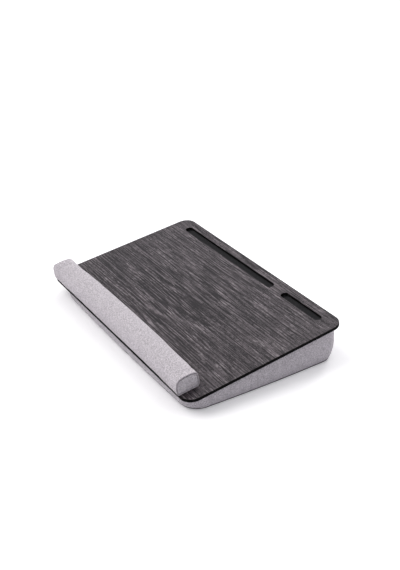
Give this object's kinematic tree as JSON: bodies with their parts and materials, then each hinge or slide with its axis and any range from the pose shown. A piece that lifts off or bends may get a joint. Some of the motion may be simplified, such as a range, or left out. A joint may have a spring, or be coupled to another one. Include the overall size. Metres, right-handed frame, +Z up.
{
  "type": "lap tray with cushion",
  "caption": "Slotted wood-grain lap board with a linen wrist rest, on a wedge cushion with a zipped linen cover.",
  "frame": {"origin": "on the table, under the middle of the tray's overall box", "axes": "+X along the tray's width to the right, +Y to the back, away from the person, +Z up"},
  "size_m": [0.55, 0.358, 0.081],
  "materials": {
    "board_core": "black stained fibreboard",
    "wood_grain_laminate": "satin dark wood-grain laminate",
    "board_backing": "matt balance sheet",
    "edge_band": "satin edge band",
    "hook_tape": "hook tape",
    "loop_tape": "brushed loop tape",
    "black_lining": "matt lining",
    "cushion_linen": "heathered linen",
    "rest_linen": "heathered linen",
    "rest_end_linen": "heathered linen",
    "filling": "soft filling",
    "zip_tape": "woven tape",
    "zip_coil": "nylon coil",
    "zip_metal": "satin enamel"
  },
  "bodies": {
    "cushion": {"cushion_top_lining": "black_lining", "cushion_top_welt": "cushion_linen", "cushion_side_band": "cushion_linen", "cushion_bottom_panel": "cushion_linen", "cushion_fill": "filling", "cushion_loop_strips": "loop_tape", "zipper_tapes": "zip_tape", "zipper_chain": "zip_coil", "zipper_stops": "zip_metal"},
    "board": {"deck_core": "board_core", "deck_laminate": "wood_grain_laminate", "deck_backing": "board_backing", "deck_edge_band": "edge_band", "deck_hook_strips": "hook_tape", "rest_hook_strips": "hook_tape"},
    "wrist_rest": {"rest_foam": "filling", "rest_sleeve": "rest_linen", "rest_base_panel": "rest_linen", "rest_loop_strips": "loop_tape", "rest_cap_right": "rest_end_linen", "rest_cap_left": "rest_end_linen", "rest_rim_right": "rest_end_linen", "rest_rim_left": "rest_end_linen"},
    "zip_slider": {"zipper_slider": "zip_metal"},
    "zip_pull": {"zipper_pull_tab": "zip_metal"}
  },
  "joints": [
    {"name": "board_lift", "type": "slide", "parent": "cushion", "child": "board", "axis": [0, -0.1392, 0.9903], "range_m": [0, 0.06]},
    {"name": "rest_lift", "type": "slide", "parent": "board", "child": "wrist_rest", "axis": [0, -0.1392, 0.9903], "range_m": [0, 0.06]},
    {"name": "zip_slide", "type": "slide", "parent": "cushion", "child": "zip_slider", "axis": [-1, 0, 0], "range_m": [0, 0.35]},
    {"name": "pull_swing", "type": "hinge", "parent": "zip_slider", "child": "zip_pull", "pos_m": [0.179, 0.17681, 0.03622], "axis": [0, 0, 1], "range_deg": [0, 150]}
  ]
}
